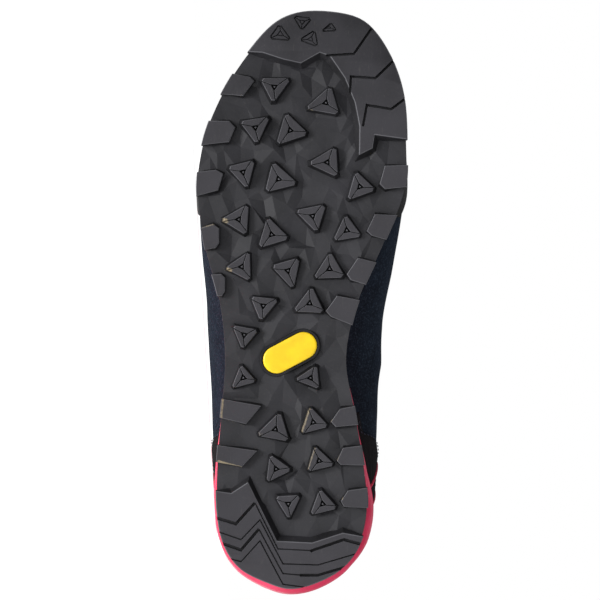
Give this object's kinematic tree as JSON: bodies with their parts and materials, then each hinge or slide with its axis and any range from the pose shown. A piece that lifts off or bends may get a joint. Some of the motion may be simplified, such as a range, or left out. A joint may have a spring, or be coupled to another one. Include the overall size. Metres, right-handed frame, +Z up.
{
  "type": "approach shoe",
  "caption": "Low-cut approach shoe for the right foot, lying on its outer side, with a lugged rubber outsole, foam midsole, suede upper, toe rand, tongue and laces.",
  "frame": {"origin": "on the floor, in the middle of the lying shoe's box", "axes": "toe towards -X, sole turned to -Y, outer side down and inner (big toe) side up along +Z"},
  "size_m": [0.2876, 0.1122, 0.1072],
  "materials": {
    "outsole_rubber": "moulded dark grey rubber, matt",
    "inset_rubber": "plain yellow rubber",
    "midsole_foam": "moulded raspberry foam, satin",
    "upper_suede": "navy suede",
    "rand_rubber": "smooth black rubber",
    "heel_panel": "black ribbed mesh with printed lines",
    "eyestay": "black synthetic leather",
    "insole_cloth": "brushed cloth on foam",
    "tongue_cloth": "padded black cloth",
    "eyelet_metal": "black painted metal",
    "lace_cord": "woven round lace"
  },
  "bodies": {
    "root": {"outsole": "outsole_rubber", "arch_inset": "inset_rubber", "midsole": "midsole_foam", "upper": "upper_suede", "rand": "rand_rubber", "heel_counter": "heel_panel", "eyestay_lateral": "eyestay", "eyestay_medial": "eyestay", "insole": "insole_cloth", "tongue": "tongue_cloth", "eyelet_lateral_1": "eyelet_metal", "eyelet_lateral_2": "eyelet_metal", "eyelet_lateral_3": "eyelet_metal", "eyelet_lateral_4": "eyelet_metal", "eyelet_lateral_5": "eyelet_metal", "eyelet_lateral_6": "eyelet_metal", "eyelet_lateral_7": "eyelet_metal", "eyelet_medial_1": "eyelet_metal", "eyelet_medial_2": "eyelet_metal", "eyelet_medial_3": "eyelet_metal", "eyelet_medial_4": "eyelet_metal", "eyelet_medial_5": "eyelet_metal", "eyelet_medial_6": "eyelet_metal", "eyelet_medial_7": "eyelet_metal", "lace_bar": "lace_cord", "lace_crossing_1": "lace_cord", "lace_crossing_2": "lace_cord", "lace_crossing_3": "lace_cord", "lace_crossing_4": "lace_cord", "lace_crossing_5": "lace_cord", "lace_crossing_6": "lace_cord"}
  },
  "joints": []
}
